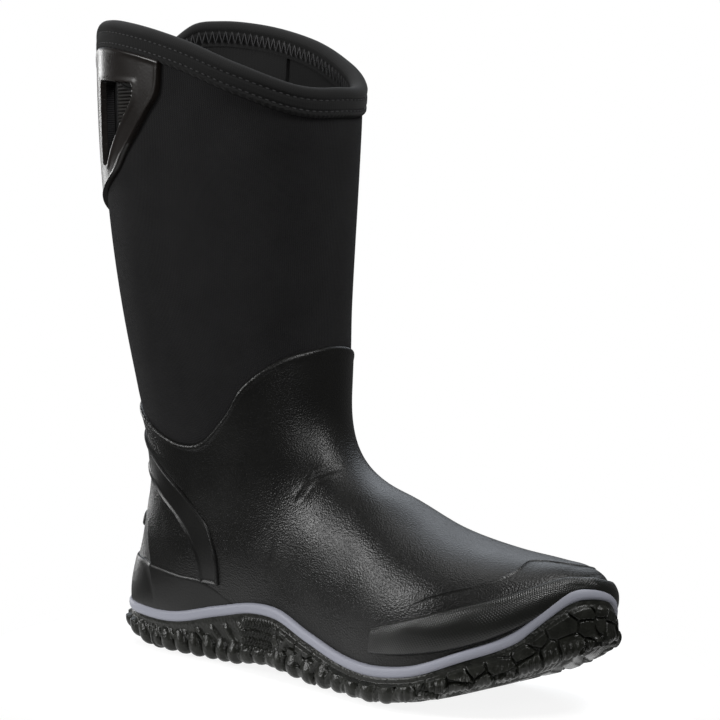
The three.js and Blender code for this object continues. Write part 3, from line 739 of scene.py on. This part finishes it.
def inner_grip():
    """Level ribs moulded on the inside of the back wall, where the fingers close."""
    pitch, depth, face, back = 1.9, 0.75, -8.6, -8.2
    lowest, below_rim = 240, 16
    a = across(*FINGERTIP_ZONE, 130)
    z = between(lowest, rim(a) - below_rim, spread(300))
    rib = np.sqrt(0.5 + 0.5 * np.cos(2 * np.pi * z / pitch))
    outer, inner = skin(a, z, face - depth * rib), skin(a, z, back)
    surface = sheet(outer[:, ::-1], inner[:, ::-1], wraps=False)
    solid("inner_grip", surface, RIBS)


def collar_binding():
    """Elastic tape folded over the shaft's top edge, pulled in along its stitch rows. Its section
    is offsets from the skin and depths below the rim: up the outside, over the top and down
    the inside."""
    a = ring(720)
    front = np.linspace(15.6, 5.2, 26)
    rows = sum(bump(front - row, 0.9) for row in STITCH_ROWS)
    outside = np.stack([0.9 - 0.75 * rows - 1.6 * bump(front - 15.9, 1.1), front])
    turn = np.linspace(0, np.pi, 18)[1:-1]
    over = np.stack([-3.9 + 4.8 * np.cos(turn), 5.0 - 4.9 * np.sin(turn)])
    back = np.linspace(5.2, 14.2, 20)
    inside = np.stack([-8.7 + 0.6 * bump(back - 6, 1) + 0.6 * bump(back - 12, 1), back])
    offset, depth = np.concatenate([outside, over, inside], axis=1)[..., None]
    scallops = 118
    scallop = 0.35 * np.sin(np.radians(a) * scallops) * bump(depth - 14.5, 1.6) * (offset > -1)
    outer = skin(a, rim(a) - depth - scallop, offset)
    core = np.where(offset > -4, np.minimum(offset - 1.2, -1.4), -7.4)
    inner = skin(a, rim(a) - np.maximum(depth, 2.2), core)
    solid("collar_binding", sheet(outer, inner), TAPE, "collar_binding", crease=70)


def stitches(name, starts, ends, radius):
    """Short thread stitches, each from one point to another, as one mesh of small capsules."""
    sides = 6
    stations = [(-1, 0.05), (-0.75, 0.75), (0, 1), (0.75, 0.75), (1, 0.05)]  # place, girth
    middle, half = (starts + ends) / 2, (ends - starts) / 2
    normal = skin_normal(middle)
    side = unit(np.cross(normal, half))
    points = []
    for place, girth in stations:
        for angle in np.linspace(0, 2 * np.pi, sides, endpoint=False):
            away = np.cos(angle) * side + 0.8 * np.sin(angle) * normal
            points.append(middle + place * half + radius * girth * away)
    points = np.stack(points, 1)
    i, j = np.mgrid[:len(stations) - 1, :sides].reshape(2, -1)
    beside = (j + 1) % sides
    one = np.stack([i * sides + j, i * sides + beside, (i + 1) * sides + beside,
                    (i + 1) * sides + j], -1)
    first = points.shape[1] * np.arange(len(points))[:, None, None]
    solid(name, (points, (one + first).reshape(-1, 4), None), THREAD)


def even_directions(depth, offset, pitch):
    """Directions round the rim at which stitches of one pitch start."""
    a = np.linspace(180, 540, 2000)
    run = running_length(skin(a, rim(a) - depth, offset))
    count = int(run[-1] / pitch)
    return np.interp(np.arange(count + 1) * run[-1] / count, run, a)


def collar_stitching():
    """Two rows of straight stitches outside the collar and a zigzag row inside it."""
    pitch, stitch_share, offset = 3.7, 0.6, 0.35
    starts, ends = [], []
    for depth in STITCH_ROWS:
        a = even_directions(depth, offset, pitch)
        start, end = a[:-1], a[:-1] + np.diff(a) * stitch_share
        starts.append(skin(start, rim(start) - depth, offset))
        ends.append(skin(end, rim(end) - depth, offset))
    stitches("collar_stitching", np.concatenate(starts), np.concatenate(ends), 0.34)
    high, low, middle, step = 5.5, 12.5, 9, 1.9
    a = even_directions(middle, -8.8, step)
    depth = np.where(np.arange(len(a)) % 2 == 0, high, low)
    points = skin(a, rim(a) - depth, -9.1)
    stitches("collar_zigzag", points[:-1], points[1:], 0.28)


def seam_tape():
    """Tape down the shaft's back seam, inside."""
    half_turn, bottom, top = 9, 147, 223
    a = across(180 - half_turn, 180 + half_turn, 30)
    z = between(bottom, top, spread(90))
    outside, inside = SEAM_TAPE_LAYER
    surface = sheet(skin(a, z, inside), skin(a, z, outside), wraps=False)
    solid("back_seam_tape", surface, TAPE, "back_seam_tape")


# ---------------------------------------------------------------- inside the foot
def floor_centre(a):
    """Level of the floor's outline in a direction, and where that direction's ray starts."""
    level = np.minimum(stripe_bottom(a), FLOOR_TOP)
    return level, spine(np.radians(a), level)


def floor_grid(offset, rise, columns, rows):
    """Points of a floor over the midsole, from its middle line out to an offset from the skin,
    and each row's share of the way."""
    a = ring(columns)
    level, (start_x, start_y) = floor_centre(a)
    edge = skin(a, level, offset)
    share = spread(rows, 0.3)
    x = between(start_x, edge[..., 0], share)
    y = between(start_y, edge[..., 1], share)
    return np.stack([x, y, midsole_top(x) + rise], -1), share


def foot_lining():
    """Jersey that lines the foot's floor and its walls, up to the shaft."""
    columns, thickness = 240, 0.5
    outside, inside = FOOT_LINING_LAYER
    floor, _ = floor_grid(FLOOR_EDGE, LINING_FLOOR, columns, 24)
    a = ring(columns)
    base = floor[-1, :, 2] + thickness
    wall = skin(a, between(base, rubber_edge(a), spread(70)[1:]), inside)
    face = np.concatenate([floor, wall])
    back = np.concatenate([floor - [0, 0, thickness], skin(a, wall[..., 2], outside)])
    solid("foot_lining", sheet(face, back), LINING, "foot_lining")


def footbed():
    """The loose foam footbed and its knitted cover, raised a little round the heel."""
    thickness, gap, cloth = 4.1, 0.35, 0.7
    grid, share = floor_grid(FOOTBED_EDGE, FOOTBED_FLOOR, 240, 40)
    x, y = grid[..., 0], grid[..., 1]
    cup = 1.2 * smooth(0.7, 1, share) * smooth(100, 20, x)
    arch = 1.5 * bump(x - 120, 30) * smooth(0, 30, y)
    crown = np.zeros_like(grid)
    crown[..., 2] = thickness * rounded((1 - share) * 40, 3) + cup + arch
    foam = solid("footbed_foam", sheet(grid + crown, grid), FOAM,
                 "footbed_foam", "footbed")
    under = grid + crown + [0, 0, gap]
    cover = solid("footbed_cover", sheet(under + [0, 0, cloth], under), FOOTBED,
                  "footbed_cover", "footbed")


# ---------------------------------------------------------------- the outsole
def bars(place, pitch, fill, soft):
    """1 on bars of a pitch, 0 in the grooves between, with soft flanks; sizes in mm."""
    off = np.abs(np.mod(place / pitch, 1) - 0.5) * pitch
    return smooth(fill * pitch / 2 + soft, fill * pitch / 2 - soft, off)


def blocks(p, q, size, groove, seed):
    """Irregular tilted blocks between grooves: 0 in a groove, up to 1 on a block."""
    table = 64
    random = np.random.default_rng(seed).random((table, table, 5))
    i, j = np.floor(p / size).astype(int), np.floor(q / size).astype(int)
    gaps, levels = [], []
    for di in (-1, 0, 1):
        for dj in (-1, 0, 1):
            own = random[(i + di) % table, (j + dj) % table]
            dp = p - (i + di + 0.15 + 0.7 * own[..., 0]) * size
            dq = q - (j + dj + 0.15 + 0.7 * own[..., 1]) * size
            gaps.append(np.hypot(dp, dq))
            tilt = (dp * (own[..., 3] - 0.5) + dq * (own[..., 4] - 0.5)) / size
            levels.append(0.62 + 0.3 * own[..., 2] + 0.7 * tilt)
    gaps, levels = np.stack(gaps), np.stack(levels)
    order = np.argsort(gaps, axis=0)[:2]
    nearest, second = np.take_along_axis(gaps, order, 0)
    level = np.take_along_axis(levels, order[:1], 0)[0]
    return smooth(0.3, 0.3 + groove, second - nearest) * np.clip(level, 0.2, 1)


def knuckles(run, corner, pitch):
    """Round lumps along the sole's lower edge."""
    off = (np.mod(run / pitch, 1) - 0.5) * pitch
    return np.sqrt(np.clip(1 - (off / (0.46 * pitch)) ** 2 - ((corner + 1) / 7.5) ** 2, 0, 1))


# The tread's patterns, 0 in a groove and 1 on a lug. run is mm along the sole from the toe, drop
# mm down from the stripe and corner mm past the sole's lower edge, negative above it.
def heel_lugs(run, drop, corner):
    """Knuckles on the edge, each with a hooked rib above it."""
    hook = 0.55 * bars(run + 0.7 * drop, HEEL_PITCH, 0.34, 1.1) * smooth(3, 8, drop)
    return smooth(3.0, 5.0, drop) * np.maximum(knuckles(run, corner, HEEL_PITCH), hook)


def arch_ribs(run, drop, corner):
    """A panel of fine wavy ribs, over lower knuckles."""
    wavy = run + 0.8 * np.sin(drop * 2 * np.pi / 4.4)
    panel = smooth(2.5, 4, drop) * (0.12 + 0.42 * bars(wavy, 2.4, 0.5, 0.4))
    edge = 0.8 * knuckles(run, corner, HEEL_PITCH) * smooth(-6, -3, corner)
    return np.maximum(panel, edge)


def ball_lugs(run, drop, corner):
    """Knuckles, hooked ribs that lean the other way and rough blocks between them."""
    hook = 0.7 * bars(run - 0.75 * drop, BALL_PITCH, 0.32, 1.2)
    rough = 0.8 * blocks(run, drop, 7.5, 1.6, seed=7)
    lugs = np.maximum(knuckles(run, corner, BALL_PITCH), np.maximum(hook, rough))
    return smooth(3.0, 5.0, drop) * lugs


def toe_chunks(run, drop, corner):
    """Large broken blocks with a scalloped lower edge."""
    scallop = 0.75 + 0.25 * bars(run, 3.4, 0.6, 0.6) * smooth(-5, -1, corner)
    return smooth(3.0, 5.0, drop) * blocks(run + 0.5 * drop, drop, 11, 1.3, seed=3) * scallop


def side_pattern(run, drop, corner, direction):
    """The pattern on the sole's side, each zone fading into the next from the heel forward."""
    pattern = heel_lugs(run, drop, corner)
    for zone, start, end in ((arch_ribs, 110, 107), (ball_lugs, 99, 96), (toe_chunks, 66, 54)):
        share = smooth(start, end, direction)
        pattern = between(pattern, zone(run, drop, corner), share)
    return pattern


def under_pattern(x, y):
    """Chevrons under the heel and ball, split along the middle, and fine bars under the arch."""
    chevron = bars(x + 0.55 * np.abs(y), 13, 0.62, 1.0) * (1 - 0.9 * bump(y, 2.2))
    return np.where((x > 96) & (x < 142), 0.25 * bars(x, 5, 0.5, 0.7), chevron)


def sole_columns(count):
    """Directions of even steps round the sole's upper edge, and each one's length from the toe."""
    fine = np.linspace(180, 540, 4000)
    run = running_length(skin(fine, stripe_bottom(fine), 1.6))
    at = np.arange(count) / count * run[-1]
    return np.interp(at, run, fine)[None, :], np.abs(at - run[-1] / 2)


def sole_wall(a):
    """The sole's side, from under the stripe down to where its edge starts to turn."""
    top = stripe_bottom(a) + 0.4
    ground = tread(skin(a, stripe_bottom(a))[..., 0]) + GROOVE
    v = spread(44)
    z = between(top, np.minimum(ground + SOLE_CORNER, top - 4), v)
    return skin(a, z, 1.2 + 0.5 * smooth(0, 0.2, v))


def sole_corner(low, inward, turn):
    """The rounded lower edge, under the lowest points of the wall."""
    flat = low[:, :2] + SOLE_CORNER * (1 - np.cos(turn)) * inward
    return np.concatenate([flat, low[:, 2:] - SOLE_CORNER * np.sin(turn)], -1)


def sole_underside(edge, middle, share):
    """The underside, from the corner's last points in to the middle line."""
    flat = between(edge[:, :2], middle, share)
    z = between(edge[:, 2], tread(flat[..., 0]) + GROOVE, smooth(0, 0.12, share[..., 0]))
    return np.concatenate([flat, z[..., None]], -1)


def outsole():
    """The sole: a smooth band under the stripe, then lugs that wrap round its edge and under."""
    a, from_toe = sole_columns(1700)
    wall = sole_wall(a)
    low = wall[-1]
    middle = np.stack(floor_centre(a)[1], -1)[0]
    inward = unit(middle - low[:, :2])
    turn = np.linspace(0, np.pi / 2, 8)[1:, None, None]
    corner = sole_corner(low, inward, turn)
    share = np.linspace(0, 1, 46)[1:, None, None]
    under = sole_underside(corner[-1], middle, share)
    base = np.concatenate([wall, corner, under])

    side = unit(skin_normal(wall) * [1, 1, 0])
    tilt = np.concatenate([turn, np.full_like(share, np.pi / 2)])
    outward = np.concatenate([side, side[-1] * np.cos(tilt) + [0, 0, -1] * np.sin(tilt)])

    drop = running_length(base)
    past = drop - drop[len(wall)]
    pattern = side_pattern(from_toe, drop, past, fold(a))
    pattern = between(pattern, under_pattern(base[..., 0], base[..., 1]), smooth(9, 13, past))
    height = 0.1 + between(WALL_LUGS, GROOVE - 0.1, smooth(-8, 0, past)) * pattern
    outer = base + height[..., None] * outward
    outer[..., 2] = np.maximum(outer[..., 2], 0)
    core = np.concatenate([
        skin(a, wall[..., 2], -2.5),
        corner + np.append(SOLE_CORE * inward, np.full((len(inward), 1), 3), 1),
        under + [0, 0, SOLE_CORE]])
    solid("outsole", sheet(outer, core), SOLE, "outsole", crease=60)


# ---------------------------------------------------------------- putting it together
foot_shell()
toe_cap()
toe_bumper()
heel_band()
heel_strap()
heel_badge()
foxing_stripe()
outsole()
shaft_layer("shaft_neoprene", NEOPRENE_LAYER, NEOPRENE, 420, 210)
shaft_layer("shaft_lining", SHAFT_LINING_LAYER, LINING, 360, 180)
handle("handle_panel", HANDLE_LAYER, 14.2, 0, GLOSS, lip=0.45)
handle("inner_handle_panel", INNER_HANDLE_LAYER, 13.2, 3, LINING, lip=0)
inner_grip()
collar_binding()
collar_stitching()
seam_tape()
foot_lining()
footbed()

# The CAD pieces that nothing shows keep their shapes and get their materials.
KEPT_LOOKS = {
    "midsole": FOAM, "shank": STEEL, "insole_board": BOARD, "toe_puff": BOARD,
    "heel_stiffener": BOARD, "foot_bootie": LINING,
}
for node, look in KEPT_LOOKS.items():
    part = frame["nodes"][node]
    part.data.materials.clear()
    part.data.materials.append(look)


# ---------------------------------------------------------------- stage, light and camera
STAGE_RADIUS, STAGE_GAP = 0.2, 0.0005  # in metres, as are all sizes from here on
LIT_POINT = (0, 0, 0.13)
LIGHTS = [  # name, azimuth, elevation, distance, size, power in watts, colour
    ("top", -100, 77, 1.5, (0.9, 0.9), 6, (1, 1, 1)),
    ("key", -44, 23, 1.6, (0.5, 0.6), 18, (1, 1, 1)),
    ("front", 50, 27, 1.7, (0.35, 0.55), 6.5, (1, 1, 1)),
    ("ankle", 88, 56, 1.5, (0.4, 0.4), 15, (1, 1, 1)),
    ("backdrop", -140, 36, 1.5, (1.7, 1.1), 11, (0.86, 0.92, 1.0)),
    ("left_strip", -104, 1, 1.4, (0.2, 0.5), 2.4, (1, 1, 1)),
]
CAMERA_AZIMUTH, CAMERA_ELEVATION, CAMERA_ROLL = 39.9, 6.5, 1.6
CAMERA_DISTANCE, CAMERA_LENS = 1.81, 172.0
CAMERA_AIM = (0.120, 0, 0.180)  # from the heel datum
CAMERA_SHIFT = (0.015, -0.0148)  # of the aim, to the right and up in the picture


def toward(azimuth, elevation):
    """Unit vector from the boot at an azimuth and elevation in degrees."""
    a, e = math.radians(azimuth), math.radians(elevation)
    return Vector((math.sin(a) * math.cos(e), -math.cos(a) * math.cos(e), math.sin(e)))


def stage():
    """A plain pale round floor."""
    corners = 96
    angle = np.linspace(0, 2 * np.pi, corners, endpoint=False)
    points = np.stack([STAGE_RADIUS * np.cos(angle), STAGE_RADIUS * np.sin(angle), 0 * angle], -1)
    mesh = bpy.data.meshes.new("floor")
    mesh.from_pydata(points.tolist(), [], [list(range(corners))])
    look = Look("floor", 0.7, Emission_Color=(1, 1, 1, 1), Emission_Strength=0.88)
    look.colour(look.noise(3, 2), (0.14, 0.14, 0.14), (0.17, 0.17, 0.17))
    mesh.materials.append(look.material)
    floor = bpy.data.objects.new("floor", mesh)
    floor.location.z = -STAGE_GAP
    bpy.context.collection.objects.link(floor)


def soft_light(name, azimuth, elevation, distance, size, power, colour):
    """A rectangular soft light that faces the boot."""
    lamp = bpy.data.lights.new(name, "AREA")
    lamp.shape, lamp.size, lamp.size_y = "RECTANGLE", *size
    lamp.energy, lamp.color = power, colour
    piece = bpy.data.objects.new(name, lamp)
    back = toward(azimuth, elevation)
    piece.location = Vector(LIT_POINT) + distance * back
    piece.rotation_euler = back.to_track_quat("Z", "Y").to_euler()
    bpy.context.collection.objects.link(piece)


def world():
    """A dim grey room, seen by the camera as a white backdrop."""
    room = bpy.data.worlds.new("studio")
    room.use_nodes = True
    tree = room.node_tree
    tree.nodes.clear()
    mix = tree.nodes.new("ShaderNodeMixShader")
    for socket, strength in ((1, 0.1), (2, 1.0)):
        shade = tree.nodes.new("ShaderNodeBackground")
        shade.inputs["Color"].default_value = (1, 1, 1, 1)
        shade.inputs["Strength"].default_value = strength
        tree.links.new(shade.outputs[0], mix.inputs[socket])
    path = tree.nodes.new("ShaderNodeLightPath")
    tree.links.new(path.outputs["Is Camera Ray"], mix.inputs[0])
    out = tree.nodes.new("ShaderNodeOutputWorld")
    tree.links.new(mix.outputs[0], out.inputs[0])
    bpy.context.scene.world = room


def camera():
    """A long lens ahead of the boot and to its outer side, a little above its collar."""
    back = toward(CAMERA_AZIMUTH, CAMERA_ELEVATION)
    right = toward(CAMERA_AZIMUTH + 90, 0)
    up = back.cross(right)
    aim = Vector(CAMERA_AIM) - Vector(DATUM / 1000) + right * CAMERA_SHIFT[0] + up * CAMERA_SHIFT[1]
    roll = math.radians(CAMERA_ROLL)
    turned_right = right * math.cos(roll) + up * math.sin(roll)
    turned_up = up * math.cos(roll) - right * math.sin(roll)
    data = bpy.data.cameras.new("camera")
    data.lens, data.sensor_width, data.clip_end = CAMERA_LENS, 36, 60
    piece = bpy.data.objects.new("camera", data)
    turn = Matrix((turned_right, turned_up, back)).transposed()
    piece.matrix_world = Matrix.Translation(aim + back * CAMERA_DISTANCE) @ turn.to_4x4()
    bpy.context.collection.objects.link(piece)
    bpy.context.scene.camera = piece


stage()
world()
for light in LIGHTS:
    soft_light(*light)
camera()
bpy.context.scene.view_settings.view_transform = "Standard"
